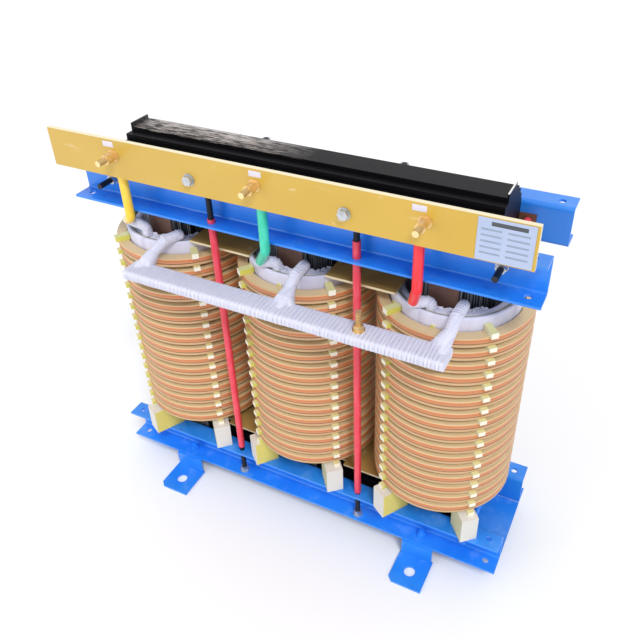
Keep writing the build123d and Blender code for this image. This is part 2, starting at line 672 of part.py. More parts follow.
def star_bar():
    """Copper bar under cotton tape, one piece with its three arms."""
    ends = (ARMS_X[0] - STAR_OVERHANG, ARMS_X[-1] + STAR_OVERHANG)
    bar = block(ends, (STAR_LINE - STAR_WIDTH / 2, STAR_LINE + STAR_WIDTH / 2),
                (STAR_LEVEL - STAR_THICKNESS / 2, STAR_TOP))
    bar = fillet(bar.edges().filter_by(Axis.X), 6)
    for k in range(3):
        bar += star_arm(k)
    bar -= upright(THREAD, STAR_BOLT_X, STAR_LINE, STAR_LEVEL - STAR_THICKNESS, STAR_TOP + 1)
    return bar


def star_bolt():
    low = STAR_LEVEL - STAR_THICKNESS / 2 - HEAD_HEIGHT
    head = nut_up(STAR_BOLT_X, STAR_LINE, low, HEAD_HEIGHT, 0)
    return head + upright(THREAD, STAR_BOLT_X, STAR_LINE, low + 1, STAR_TOP + STAR_BOLT_RISE)


def star_nut():
    return nut_up(STAR_BOLT_X, STAR_LINE, STAR_TOP + WASHER_THICKNESS)


def star_washer():
    return washer_up(STAR_BOLT_X, STAR_LINE, STAR_TOP)


# ---------------------------------------------------------------- all sub-parts
def sub_parts():
    """Every node's name with its solid or its group of like solids."""
    parts = {
        "core_upper_yoke": upper_yoke(),
        "core_lower_yoke": yoke(LOWER_YOKE_LEVEL),
        "limb_strips": limb_strips(),
        "yoke_boards": yoke_boards(),
        "window_plates_upper": upper_window_plates(),
        "window_plates_lower": lower_window_plates(),
        "clamp_upper_front": upper_clamp(),
        "clamp_upper_rear": mirror(upper_clamp(), Plane.XZ),
        "clamp_lower_front": lower_clamp(),
        "clamp_lower_rear": mirror(lower_clamp(), Plane.XZ),
        "cross_plates": cross_plates(),
        "foot_front_left": foot(-FOOT_OFFSET),
        "foot_front_right": foot(FOOT_OFFSET),
        "foot_rear_left": mirror(foot(-FOOT_OFFSET), Plane.XZ),
        "foot_rear_right": mirror(foot(FOOT_OFFSET), Plane.XZ),
        "foot_bolts": foot_bolts(),
        "foot_nuts": foot_nuts(),
        "tie_rods": tie_rods(),
        "tie_rod_sleeves": rod_sleeves(),
        "tie_rod_nuts": rod_nuts(),
        "tie_rod_washers": rod_washers(),
        "clamp_studs": clamp_studs(),
        "clamp_stud_sleeves": stud_sleeves(),
        "clamp_stud_nuts": stud_nuts(),
        "clamp_stud_washers": stud_washers(),
        "terminal_board": terminal_board(),
        "board_brackets": board_brackets(),
        "board_bolts": board_bolts(),
        "board_nuts": board_nuts(),
        "board_washers": board_washers(),
        "terminal_studs": terminal_studs(),
        "terminal_nuts": terminal_nuts(),
        "terminal_washers": terminal_washers(),
        "nameplate": nameplate(),
        "barrier_tubes": [round_tube(x, BARRIER_TUBE, COIL_LEVEL, LAYER_TOP - BARRIER_DROP) for x in COIL_CENTRES],
        "taped_layers": [round_tube(x, OUTER_LAYER, COIL_LEVEL, LAYER_TOP) for x in COIL_CENTRES],
        "support_blocks": support_blocks(),
        "lead_lugs": lead_lugs(),
        "lead_roots": [lead_root(k) for k in range(3)],
        "star_bar": star_bar(),
        "star_bolt": star_bolt(),
        "star_nut": star_nut(),
        "star_washer": star_washer(),
    }
    for k, name in enumerate(COIL_NAMES):
        x = COIL_CENTRES[k]
        parts["core_limb_" + name] = limb(x)
        parts["inner_winding_" + name] = round_tube(x, INNER_LAYER, COIL_LEVEL, INNER_TOP)
        parts["disc_winding_" + name] = disc_winding(x)
        parts["spacers_" + name] = spacers(x) + duct_sticks(x)
        parts["phase_lead_" + name] = phase_lead(k)
    return parts


def main():
    os.makedirs("parts", exist_ok=True)
    for name, shape in sub_parts().items():
        solids = shape if isinstance(shape, list) else shape.solids()
        body = solids[0] if len(solids) == 1 else Compound(children=list(solids))
        export_step(body, os.path.join("parts", name + ".step"))


main()
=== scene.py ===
"""Looks of the dry type transformer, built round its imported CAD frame.

Metres, +Z up, the terminal side faces -Y. Places come from the frame's own nodes, and the
sizes named below repeat the part's own."""

import math
import random

import bpy
from mathutils import Matrix, Vector


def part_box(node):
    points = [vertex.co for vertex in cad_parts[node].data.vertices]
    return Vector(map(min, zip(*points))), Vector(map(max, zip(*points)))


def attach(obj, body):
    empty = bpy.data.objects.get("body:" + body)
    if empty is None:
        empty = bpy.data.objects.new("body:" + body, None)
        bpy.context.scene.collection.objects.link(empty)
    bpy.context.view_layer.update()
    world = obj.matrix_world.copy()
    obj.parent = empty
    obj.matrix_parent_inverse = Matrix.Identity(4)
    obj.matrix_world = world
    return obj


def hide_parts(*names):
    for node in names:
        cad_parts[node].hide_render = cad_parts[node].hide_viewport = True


MM = 0.001
LIMB_PITCH = 320 * MM
COILS = {"left": -LIMB_PITCH, "middle": 0.0, "right": LIMB_PITCH}

DISC_COUNT = 16
DISC_HEIGHT = 21 * MM
DISC_INNER = 132 * MM
DISC_SEAM = 0.40                # share of a disc's height under its upper strand
DISC_EDGE = 152.6 * MM          # radius past which a disc shows its edge colours
STRAND_PITCH = 3.1 * MM         # between the fine rings on a disc's faces
RING_STEPS = 96
SPACER_END = 161.4 * MM         # radius past which sticks and blocks show their cut ends
BLOCK_END = 172.4 * MM
INNER_WALL = 17 * MM            # thickness of the inner winding
INNER_MIDDLE = 107.5 * MM       # middle of that wall
BARRIER_INNER = 118 * MM
LAYER_INNER = 121.5 * MM

STAR_WIDTH = 52 * MM
STAR_THICKNESS = 20 * MM
ARM_RADIUS = 11.4 * MM
ARM_SHOULDER = 133 * MM         # where an arm levels out, in front of the middle plane
ARM_ROOTS = (20 * MM, 40 * MM, 39 * MM)
ARM_TIPS = ((116 * MM, -59), (104 * MM, -68), (104 * MM, -66))
FAN_SHIFTS = (11 * MM, 0, -11 * MM)     # keeps the outer fans on the bar
FAN_WIDTHS = (25 * MM, 32 * MM, 25 * MM)
LEAD_ENDS = ((-51 * MM, -124 * MM, 742.2 * MM),
             (-45 * MM, -125 * MM, 721.2 * MM),
             (-43 * MM, -125 * MM, 719.2 * MM))
ROOT_ANGLES = (-101, -99, -98)
ROOT_RADIUS = 10.8 * MM
LABEL_SHIFTS = (-9 * MM, 2 * MM, -11 * MM)

BARE_METAL = (-0.39, -0.06)     # along the upper yoke, where its enamel is rubbed off
PAINT_TOP = 0.3                 # fasteners below this height are painted with the clamps

SKY = 0.8                       # strength of the world's light on the object
SUN_FROM = (1.0, -1.1, 1.9)
SUN_STRENGTH = 1.55
SUN_ANGLE = 16
FILL_PLACE = (-1.4, -2.6, 1.3)
FILL_TARGET = (0, 0, 0.4)
FILL_SIZE, FILL_POWER = 1.6, 16

CAMERA_PLACE = (0.631, -1.122, 1.4734)
CAMERA_ANGLES = (27.36, 34.87, -1.57)   # azimuth, elevation and roll
CAMERA_LENS = 40.28
CAMERA_SHIFT = (-0.0202, -0.0410)

TURNS = random.Random(7)        # unevenness of the tape's turns


def clear_selection():
    for piece in bpy.context.selected_objects:
        piece.select_set(False)


def make_active(piece):
    clear_selection()
    piece.select_set(True)
    bpy.context.view_layer.objects.active = piece


def settle(piece):
    """Puts a piece's place into its mesh."""
    make_active(piece)
    bpy.ops.object.transform_apply(location=True, rotation=True, scale=True)


def copy_of(piece, matrix):
    twin = piece.copy()
    twin.data = piece.data.copy()
    twin.matrix_world = matrix @ piece.matrix_world
    bpy.context.collection.objects.link(twin)
    return twin


def join(pieces, name):
    """Joins pieces into one object whose mesh holds their places."""
    clear_selection()
    for piece in pieces:
        piece.select_set(True)
    bpy.context.view_layer.objects.active = pieces[0]
    if len(pieces) > 1:
        bpy.ops.object.join()
    joined = bpy.context.view_layer.objects.active
    joined.name = name
    settle(joined)
    return joined


def dress(piece, material, smooth_degrees=35):
    """Gives a finished piece its material and rides it on the frame."""
    piece.data.materials.clear()
    piece.data.materials.append(material)
    make_active(piece)
    bpy.ops.object.shade_smooth_by_angle(angle=math.radians(smooth_degrees))
    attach(piece, "root")
    return piece


# ------------------------------------------------------------------ colours and nodes
def colour(code):
    """Linear colour of a hexadecimal sRGB code."""
    parts = [int(code[i:i + 2], 16) / 255 for i in (1, 3, 5)]
    linear = [p / 12.92 if p <= 0.04045 else ((p + 0.055) / 1.055) ** 2.4 for p in parts]
    return (*linear, 1.0)


class Tree:
    """Short hand for adding and linking nodes."""

    def __init__(self, tree):
        self.tree = tree

    def add(self, kind, settings=None, **inputs):
        node = self.tree.nodes.new(kind)
        for name, value in (settings or {}).items():
            setattr(node, name, value)
        for name, value in inputs.items():
            self.feed(node, name, value)
        return node

    def connect(self, socket, value):
        """Links a socket to another socket, or sets it to a plain value."""
        if isinstance(value, bpy.types.NodeSocket):
            self.tree.links.new(value, socket)
        else:
            socket.default_value = value

    def feed(self, node, name, value):
        """Feeds an input by its name, or by its number when that is written as i0, i1."""
        by_number = name[0] == "i" and name[1:].isdigit()
        self.connect(node.inputs[int(name[1:]) if by_number else name.replace("_", " ")], value)

    def math(self, operation, a, b=0.0, clamp=False):
        return self.add("ShaderNodeMath", {"operation": operation, "use_clamp": clamp}, i0=a, i1=b).outputs[0]

    def mix(self, factor, a, b):
        """Colour between a and b."""
        node = self.add("ShaderNodeMix", {"data_type": "RGBA"})
        for socket, value in ((node.inputs["Factor"], factor), (node.inputs[6], a), (node.inputs[7], b)):
            self.connect(socket, value)
        return node.outputs[2]

    def noise(self, vector, scale, detail=3.0):
        return self.add("ShaderNodeTexNoise", Vector=vector, Scale=scale, Detail=detail).outputs[0]

    def place(self, stretch=(1, 1, 1)):
        """Object coordinates, stretched along the axes."""
        where = self.add("ShaderNodeTexCoord").outputs["Object"]
        return self.add("ShaderNodeMapping", Vector=where, Scale=stretch).outputs[0]

    def axes(self):
        """X, Y and Z of the place in the object."""
        where = self.add("ShaderNodeTexCoord").outputs["Object"]
        return self.add("ShaderNodeSeparateXYZ", Vector=where).outputs

    def normal(self):
        """X, Y and Z of the surface's normal."""
        normal = self.add("ShaderNodeNewGeometry").outputs["Normal"]
        return self.add("ShaderNodeSeparateXYZ", Vector=normal).outputs

    def wave(self, direction, scale, distortion=0.0, stretch=(1, 1, 1)):
        """Even bands across one axis."""
        return self.add("ShaderNodeTexWave", {"bands_direction": direction}, Vector=self.place(stretch),
                        Scale=scale, Distortion=distortion).outputs[1]

    def step(self, value, edge, width):
        """0 below the edge and 1 above it, over a width."""
        low, high = edge - width / 2, edge + width / 2
        return self.add("ShaderNodeMapRange", Value=value, From_Min=low, From_Max=high).outputs[0]


def group(name, inputs, outputs):
    """An empty shader group with named float or colour sockets."""
    tree = bpy.data.node_groups.new(name, "ShaderNodeTree")
    for direction, sockets in (("INPUT", inputs), ("OUTPUT", outputs)):
        for socket_name, kind in sockets.items():
            tree.interface.new_socket(socket_name, in_out=direction, socket_type=kind)
    return tree, tree.nodes.new("NodeGroupInput"), tree.nodes.new("NodeGroupOutput")


FLOAT, COLOUR = "NodeSocketFloat", "NodeSocketColor"


def make_mottle():
    """Two colours mixed by soft noise, and a fine height for a bump."""
    inputs = {"Main": COLOUR, "Patch": COLOUR, "Scale": FLOAT, "Amount": FLOAT}
    tree, given, out = group("mottle", inputs, {"Colour": COLOUR, "Height": FLOAT})
    t = Tree(tree)
    where = t.place()
    patches = t.step(t.noise(where, given.outputs["Scale"], 4.0), 0.55, 0.25)
    amount = t.math("MULTIPLY", patches, given.outputs["Amount"])
    t.feed(out, "Colour", t.mix(amount, given.outputs["Main"], given.outputs["Patch"]))
    t.feed(out, "Height", t.noise(where, 900.0, 2.0))
    return tree


def make_coil_place():
    """Distance from the nearest coil axis and the offset from it along the clamps."""
    tree, _, out = group("coil_place", {}, {"Radius": FLOAT, "Across": FLOAT})
    t = Tree(tree)
    x, y, _ = t.axes()
    folded = t.math("MODULO", t.math("ADD", x, 1.5 * LIMB_PITCH), LIMB_PITCH)
    across = t.math("SUBTRACT", folded, LIMB_PITCH / 2)
    radius = t.math("SQRT", t.math("ADD", t.math("POWER", across, 2.0), t.math("POWER", y, 2.0)))
    t.feed(out, "Radius", radius)
    t.feed(out, "Across", across)
    return tree


GROUPS = {}


def new_material(name):
    material = bpy.data.materials.new(name)
    material.use_nodes = True
    shader = material.node_tree.nodes["Principled BSDF"]
    return material, Tree(material.node_tree), shader


def place_group(t, name, **inputs):
    node = t.tree.nodes.new("ShaderNodeGroup")
    node.node_tree = GROUPS[name]
    for socket, value in inputs.items():
        t.feed(node, socket, value)
    return node.outputs


def bump(t, shader, height, strength, distance):
    node = t.add("ShaderNodeBump", Height=height, Strength=strength, Distance=distance)
    t.feed(shader, "Normal", node.outputs[0])


def finish_shader(shader, **values):
    for name, value in values.items():
        shader.inputs[name.replace("_", " ")].default_value = value


# ------------------------------------------------------------------ materials
def mottled(name, main, patch, scale, amount, grain, **values):
    """A finish with soft patches of a second tone and a fine grain."""
    material, t, shader = new_material(name)
    tones = place_group(t, "mottle", Main=colour(main), Patch=colour(patch), Scale=scale, Amount=amount)
    t.feed(shader, "Base Color", tones["Colour"])
    bump(t, shader, tones["Height"], grain, 0.2 * MM)
    finish_shader(shader, **values)
    return material


def zinc_plate(name):
    return mottled(name, "#C4C7CC", "#A9ADB4", 90.0, 0.7, 0.1, Metallic=0.85, Roughness=0.34)


def clamp_paint():
    """Glossy blue paint, paler where dust lies on what faces up."""
    material, t, shader = new_material("clamp_paint")
    tones = place_group(t, "mottle", Main=colour("#2280E6"), Patch=colour("#3390F0"), Scale=9.0, Amount=0.8)
    specks = t.step(t.noise(t.place(), 34.0, 5.0), 0.62, 0.16)
    dust = t.math("MULTIPLY", t.step(t.normal()[2], 0.75, 0.3), specks)
    t.feed(shader, "Base Color", t.mix(t.math("MULTIPLY", dust, 0.16), tones["Colour"], colour("#9CC4F4")))
    t.feed(shader, "Roughness", t.math("ADD", 0.30, t.math("MULTIPLY", dust, 0.2)))
    bump(t, shader, t.noise(t.place(), 130.0, 2.0), 0.12, 1 * MM)
    finish_shader(shader, Coat_Weight=0.25, Coat_Roughness=0.2)
    return material


def core_enamel(bare_low, bare_high):
    """Black enamel over the sheet edges, rubbed to bare metal on part of the top."""
    material, t, shader = new_material("core_enamel")
    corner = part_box("core_upper_yoke")[1]
    x, y, z = t.axes()
    streaks = t.noise(t.place((2.5, 120, 120)), 9.0, 6.0)
    blotch = t.noise(t.place((7, 26, 26)), 5.0, 5.0)
    far = t.math("MULTIPLY", t.step(y, 0.0, 0.05), 0.12)
    along = t.math("MULTIPLY", t.step(x, bare_low, 0.04), t.math("SUBTRACT", 1.0, t.step(x, bare_high, 0.16)))
    top = t.step(z, corner.z - 9.5 * MM, 1 * MM)
    worn = t.step(t.math("ADD", t.math("ADD", streaks, blotch), far), 1.04, 0.14)
    rubbed = t.math("MULTIPLY", t.math("MULTIPLY", along, top), worn)
    lip = t.math("MULTIPLY", t.step(x, corner.x - 3.5 * MM, 1 * MM), t.step(z, corner.z - 1 * MM, 0.5 * MM))
    metal = t.mix(t.step(t.math("ADD", streaks, far), 0.56, 0.12), colour("#5E4A40"), colour("#CFC8C4"))
    base = t.mix(rubbed, colour("#0B0B10"), metal)
    t.feed(shader, "Base Color", t.mix(lip, base, colour("#E8E6E2")))
    t.feed(shader, "Metallic", t.math("MULTIPLY", rubbed, 0.6))
    t.feed(shader, "Roughness", t.math("ADD", 0.36, t.math("MULTIPLY", streaks, 0.2)))
    bump(t, shader, t.wave("Y", 140.0, 0.6), 0.25, 0.4 * MM)
    finish_shader(shader, Specular_IOR_Level=0.16)
    return material


def leg_sheets():
    """Dark sheet edges with bright upright lines where the lacquer is thin."""
    material, t, shader = new_material("leg_sheets")
    upright = (1, 1, 0.05)
    lines = t.wave("X", 62.0, 2.0, upright)
    cross = t.wave("Y", 90.0, 2.0, upright)
    mask = t.step(t.math("MULTIPLY", lines, t.math("ADD", 0.5, t.math("MULTIPLY", cross, 0.5))), 0.55, 0.5)
    t.feed(shader, "Base Color", t.mix(mask, colour("#2E3036"), colour("#9A9DA2")))
    bump(t, shader, lines, 0.3, 0.4 * MM)
    finish_shader(shader, Metallic=0.35, Roughness=0.42)
    return material


def winding_wire(first_disc, pitch):
    """Varnished flat strands: fine rings on the faces, warm bands round the edge."""
    material, t, shader = new_material("winding_wire")
    coil = place_group(t, "coil_place")
    z = t.axes()[2]
    in_disc = t.math("DIVIDE", t.math("MODULO", t.math("SUBTRACT", z, first_disc), pitch), DISC_HEIGHT)
    ramp = t.add("ShaderNodeValToRGB", Fac=in_disc)
    stops = ((0.0, "#C4A880"), (0.27, "#D0A87C"), (0.33, "#84563A"), (0.42, "#84563A"), (0.46, "#D4AA7C"),
             (0.52, "#CE7E50"), (0.80, "#CA7644"), (0.86, "#DCBC90"), (1.0, "#C6AE84"))
    bands = ramp.color_ramp.elements
    bands[0].position, bands[0].color = stops[0][0], colour(stops[0][1])
    bands[1].position, bands[1].color = stops[-1][0], colour(stops[-1][1])
    for where, code in stops[1:-1]:
        bands.new(where).color = colour(code)
    rings = t.math("SINE", t.math("MULTIPLY", coil["Radius"], 2 * math.pi / STRAND_PITCH))
    ring_mask = t.step(rings, 0.2, 1.2)
    tan = t.mix(ring_mask, colour("#C6AA80"), colour("#E4CEA2"))
    around = t.noise(t.place((1, 1, 8)), 26.0, 4.0)
    edge = t.mix(t.step(around, 0.55, 0.3), ramp.outputs[0], t.mix(0.35, ramp.outputs[0], colour("#C98A50")))
    t.feed(shader, "Base Color", t.mix(t.step(coil["Radius"], DISC_EDGE, 1.2 * MM), tan, edge))
    bump(t, shader, rings, 0.35, 0.35 * MM)
    finish_shader(shader, Roughness=0.42, Coat_Weight=0.15, Coat_Roughness=0.3)
    return material


def cotton_tape(name, tint, laps_per_metre, lean):
    """White woven tape with the edges of its laps and soft creases."""
    material, t, shader = new_material(name)
    weave = t.add("ShaderNodeTexVoronoi", Vector=t.place(), Scale=620.0).outputs[0]
    turned = t.add("ShaderNodeMapping", Vector=t.place(), Rotation=(0, 0, math.radians(lean))).outputs[0]
    laps = t.add("ShaderNodeTexWave", {"wave_profile": "SAW"}, Vector=turned,
                 Scale=laps_per_metre * math.pi / 10, Distortion=1.2, Detail=2.0).outputs[1]
    creases = t.noise(t.place((60, 18, 18)), 1.6, 4.0)
    shade = t.math("MULTIPLY", t.math("SUBTRACT", 1.0, t.step(laps, 0.1, 0.16)), 0.45)
    tone = t.mix(t.step(creases, 0.4, 0.35), colour("#CFCFE2"), colour(tint))
    t.feed(shader, "Base Color", t.mix(shade, tone, colour("#A9A9C4")))
    height = t.math("ADD", t.math("MULTIPLY", weave, 0.2), t.math("MULTIPLY", creases, 0.5))
    bump(t, shader, t.math("ADD", height, t.math("MULTIPLY", laps, 0.5)), 0.35, 0.6 * MM)
    finish_shader(shader, Roughness=0.85, Sheen_Weight=0.2)
    return material


def board_laminate(name, face, streak, edge, face_axis):
    """Glossy glass laminate with a pale sawn edge, and painted shade towards its left end. Its faces look
    along one axis.
    """
    material, t, shader = new_material(name)
    tones = place_group(t, "mottle", Main=colour(face), Patch=colour(streak), Scale=7.0, Amount=0.7)
    x = t.axes()[0]
    scuff = t.step(t.noise(t.place((1, 1, 2.4)), 24.0, 5.0), 0.69, 0.06)
    worn = t.mix(t.math("MULTIPLY", scuff, 0.35), tones["Colour"], colour("#EFE3BC"))
    # Painted shade: the face turns darker and greener towards the left end. From here on, worn holds the
    # scuffs and this painted shade.
    left = t.math("SUBTRACT", 1.0, t.step(x, -0.1, 0.9))
    worn = t.mix(t.math("MULTIPLY", left, 0.35), worn, colour("#B79A52"))
    facing = t.math("ABSOLUTE", t.normal()[face_axis])
    t.feed(shader, "Base Color", t.mix(t.step(facing, 0.5, 0.2), colour(edge), worn))
    bump(t, shader, t.noise(t.place(), 260.0, 2.0), 0.1, 0.3 * MM)
    finish_shader(shader, Roughness=0.3, Coat_Weight=0.2)
    return material


def cut_stick(name, end_radius, side_left, side_right, end, top):
    """Sawn sticks and blocks: one tone on the ends, others on the sides, and painted light on the top as a
    paler tone.
    """
    material, t, shader = new_material(name)
    coil = place_group(t, "coil_place")
    tones = t.mix(t.step(coil["Across"], 0.0, 1 * MM), colour(side_left), colour(side_right))
    grain = t.step(t.noise(t.place((20, 20, 90)), 6.0, 4.0), 0.5, 0.4)
    sides = t.mix(t.math("MULTIPLY", grain, 0.35), tones, colour("#B8B59A"))
    # Painted light: what faces up takes the paler top tone.
    sides = t.mix(t.step(t.normal()[2], 0.7, 0.2), sides, colour(top))
    t.feed(shader, "Base Color", t.mix(t.step(coil["Radius"], end_radius, 0.6 * MM), sides, colour(end)))
    bump(t, shader, grain, 0.15, 0.3 * MM)
    finish_shader(shader, Roughness=0.6)
    return material


def threaded(name, tone, groove, direction, metallic, roughness):
    """Metal bar with rolled thread ridges along one axis."""
    material, t, shader = new_material(name)
    ridges = t.wave(direction, 92.0)
    t.feed(shader, "Base Color", t.mix(ridges, colour(groove), colour(tone)))
    bump(t, shader, ridges, 0.8, 0.6 * MM)
    finish_shader(shader, Metallic=metallic, Roughness=roughness)
    return material


def painted_below(material, height):
    """Covers what lies below a height with the clamps' blue."""
    t = Tree(material.node_tree)
    shader = material.node_tree.nodes["Principled BSDF"]
    socket = shader.inputs["Base Color"]
    above = t.step(t.axes()[2], height, 10 * MM)
    t.feed(shader, "Base Color", t.mix(above, colour("#1D7CE6"), socket.links[0].from_socket))
    metallic = shader.inputs["Metallic"].default_value
    t.feed(shader, "Metallic", t.math("MULTIPLY", above, metallic))
    return material


def heat_shrink(name, tone, light):
    """Shiny shrunk sleeve with faint wrinkles."""
    material, t, shader = new_material(name)
    wrinkles = t.noise(t.place((1, 1, 0.4)), 70.0, 3.0)
    t.feed(shader, "Base Color", t.mix(t.step(wrinkles, 0.55, 0.3), colour(tone), colour(light)))
    bump(t, shader, wrinkles, 0.25, 1 * MM)
    finish_shader(shader, Roughness=0.28, Coat_Weight=0.3)
    return material


# ------------------------------------------------------------------ windings
def strand_ring(x, inner, outer, low, high, corner=1.6 * MM, rounds=2):
    """One flat strand ring: a rounded cross-section spun round the coil's axis."""
    bpy.ops.mesh.primitive_plane_add(size=1, rotation=(math.pi / 2, 0, 0),
                                     location=(x + (inner + outer) / 2, 0, (low + high) / 2))
    ring = bpy.context.active_object
    ring.scale = (outer - inner, high - low, 1)
    settle(ring)
    bpy.ops.object.mode_set(mode="EDIT")
    bpy.ops.mesh.select_all(action="SELECT")
    bpy.ops.mesh.bevel(offset=corner, segments=rounds, affect="VERTICES")
    bpy.ops.mesh.select_all(action="SELECT")
    bpy.ops.mesh.delete(type="ONLY_FACE")
    bpy.ops.mesh.select_all(action="SELECT")
    bpy.ops.mesh.spin(steps=RING_STEPS, angle=2 * math.pi, center=(x, 0, 0), axis=(0, 0, 1))
    bpy.ops.mesh.select_all(action="SELECT")
    bpy.ops.mesh.remove_doubles(threshold=0.05 * MM)
    bpy.ops.mesh.normals_make_consistent(inside=False)
    bpy.ops.object.mode_set(mode="OBJECT")
    return ring


def disc_pitch(low, high):
    """Height from disc to disc in a stack between two corners."""
    return (high.z - low.z - DISC_HEIGHT) / (DISC_COUNT - 1)


def disc_stack(name, x, material):
    """A stack of discs of two strands each, in place of the plain disc rings."""
    low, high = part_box("disc_winding_" + name)
    outer = (high.x - low.x) / 2
    pitch = disc_pitch(low, high)
    seam = low.z + DISC_SEAM * DISC_HEIGHT
    lower = strand_ring(x, DISC_INNER, outer - 0.4 * MM, low.z, seam)
    upper = strand_ring(x, DISC_INNER, outer, seam, low.z + DISC_HEIGHT)
    strands = []
    for number in range(DISC_COUNT):
        shift = Matrix.Translation((0, 0, number * pitch))
        strands += [copy_of(lower, shift), copy_of(upper, shift)]
    bpy.data.objects.remove(lower)
    bpy.data.objects.remove(upper)
    stack = join(strands, "winding_discs_" + name)
    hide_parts("disc_winding_" + name)
    return dress(stack, material, 40)


def smooth_tube(x, inner, outer, low, high):
    """A round tube with soft rims."""
    return strand_ring(x, inner, outer, low, high, 0.45 * (outer - inner), 3)


def smooth_tubes(paints):
    """Round tubes in place of the many-sided inner windings, barriers and taped layers."""
    for name, x in COILS.items():
        low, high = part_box("inner_winding_" + name)
        tube = smooth_tube(x, high.x - x - INNER_WALL, high.x - x, low.z, high.z)
        tube.name = "inner_layers_" + name
        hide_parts("inner_winding_" + name)
        dress(tube, paints["inner_winding"], 50)
    for node, inner, slot in (("barrier_tubes", BARRIER_INNER, "barrier_olive"),
                              ("taped_layers", LAYER_INNER, "cotton_tape")):
        low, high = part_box(node)
        outer = high.x - LIMB_PITCH
        tubes = [smooth_tube(x, inner, outer, low.z, high.z) for x in COILS.values()]
        joined = join(tubes, "round_" + node)
        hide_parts(node)
        dress(joined, paints[node], 50)


# ------------------------------------------------------------------ taped bar
def tape_turn_on_bar(width, thickness, length):
    """One turn of tape round the bar, rounded like the bar."""
    bpy.ops.mesh.primitive_cube_add(size=1, location=(0, 0, 0))
    turn = bpy.context.active_object
    turn.scale = (length, width, thickness)
    settle(turn)
    bpy.ops.object.mode_set(mode="EDIT")
    bpy.ops.mesh.select_all(action="DESELECT")
    bpy.ops.object.mode_set(mode="OBJECT")
    for edge in turn.data.edges:
        a, b = (turn.data.vertices[i].co for i in edge.vertices)
        edge.select = abs(a.x - b.x) > length / 2
    bpy.ops.object.mode_set(mode="EDIT")
    bpy.ops.mesh.bevel(offset=9 * MM, segments=5)
    bpy.ops.mesh.select_all(action="SELECT")
    bpy.ops.mesh.bevel(offset=0.35 * MM, segments=1)
    bpy.ops.object.mode_set(mode="OBJECT")
    return turn


def wrap_bar(material):
    """Overlapping turns of tape along the star bar."""
    low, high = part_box("star_bar")
    centre_y, centre_z = low.y + STAR_WIDTH / 2, low.z + STAR_THICKNESS / 2
    turn = tape_turn_on_bar(STAR_WIDTH + 2.4 * MM, STAR_THICKNESS + 2.4 * MM, 12 * MM)
    turns, x = [], low.x + 5 * MM
    while x < high.x - 4 * MM:
        swell = 1 + TURNS.uniform(-0.004, 0.006)
        place = Matrix.Translation((x, centre_y, centre_z))
        place @= Matrix.Rotation(math.radians(TURNS.uniform(0.5, 2.5)), 4, "Z")
        place @= Matrix.Rotation(math.radians(TURNS.uniform(1, 3)), 4, "Y")
        place @= Matrix.Diagonal((1, swell, swell, 1))
        turns.append(copy_of(turn, place))
        x += TURNS.uniform(6, 9.5) * MM
    bpy.data.objects.remove(turn)
    return dress(join(turns, "star_bar_tape"), material, 30)


def wrap_round(name, path, radius, material, step=7 * MM, looseness=1.0):
    """Overlapping round turns of tape along a path of points."""
    bpy.ops.mesh.primitive_cylinder_add(vertices=28, radius=radius, depth=10 * MM, location=(0, 0, 0))
    turn = bpy.context.active_object
    make_active(turn)
    bpy.ops.object.mode_set(mode="EDIT")
    bpy.ops.mesh.select_all(action="SELECT")
    bpy.ops.mesh.bevel(offset=0.5 * MM, segments=1)
    bpy.ops.object.mode_set(mode="OBJECT")
    turns = []
    for start, end in zip(path, path[1:]):
        run = end - start
        if run.length < 0.5 * MM:
            continue
        turning = run.to_track_quat("Z", "Y").to_matrix().to_4x4()
        for number in range(int(run.length / step) + 1):
            at = start + run * min(1.0, number * step / run.length)
            swell = 1 + looseness * TURNS.uniform(-0.02, 0.03)
            lean = Matrix.Rotation(math.radians(looseness * TURNS.uniform(5, 10)), 4, "X")
            place = Matrix.Translation(at) @ turning @ lean @ Matrix.Diagonal((swell, swell, 1, 1))
            turns.append(copy_of(turn, place))
    bpy.data.objects.remove(turn)
    return dress(join(turns, name), material, 30)


def flared_root(start, end, wide, radius):
    """Fan of tape where an arm leaves the bar: wide and flat at the bar, round at the arm."""
    run = end - start
    waist = run.length * 0.45
    bpy.ops.mesh.primitive_cone_add(vertices=32, radius1=wide, radius2=radius, depth=run.length,
                                    location=(0, 0, run.length / 2))
    flare = bpy.context.active_object
    settle(flare)
    bpy.ops.object.mode_set(mode="EDIT")
    bpy.ops.mesh.select_all(action="SELECT")
    bpy.ops.mesh.bisect(plane_co=(0, 0, waist), plane_no=(0, 0, 1))
    bpy.ops.mesh.select_all(action="DESELECT")
    bpy.ops.object.mode_set(mode="OBJECT")
    for vertex in flare.data.vertices:
        vertex.select = vertex.co.z < 1 * MM
    bpy.ops.object.mode_set(mode="EDIT")
    bpy.ops.transform.resize(value=(1, radius * 0.6 / wide, 1), center_override=(0, 0, 0))
    bpy.ops.mesh.select_all(action="DESELECT")
    bpy.ops.object.mode_set(mode="OBJECT")
    for vertex in flare.data.vertices:
        vertex.select = abs(vertex.co.z - waist) < 1 * MM
    bpy.ops.object.mode_set(mode="EDIT")
    bpy.ops.transform.resize(value=(0.78, 1.0, 1), center_override=(0, 0, waist))
    bpy.ops.object.mode_set(mode="OBJECT")
    across = run.cross(Vector((0, 0, 1))).normalized()
    over = run.normalized()
    turning = Matrix((across, over.cross(across), over)).transposed().to_4x4()
    flare.matrix_world = Matrix.Translation(start) @ turning
    settle(flare)
    return flare


def polar(x, radius, degrees, z):
    angle = math.radians(degrees)
    return Vector((x + radius * math.cos(angle), radius * math.sin(angle), z))


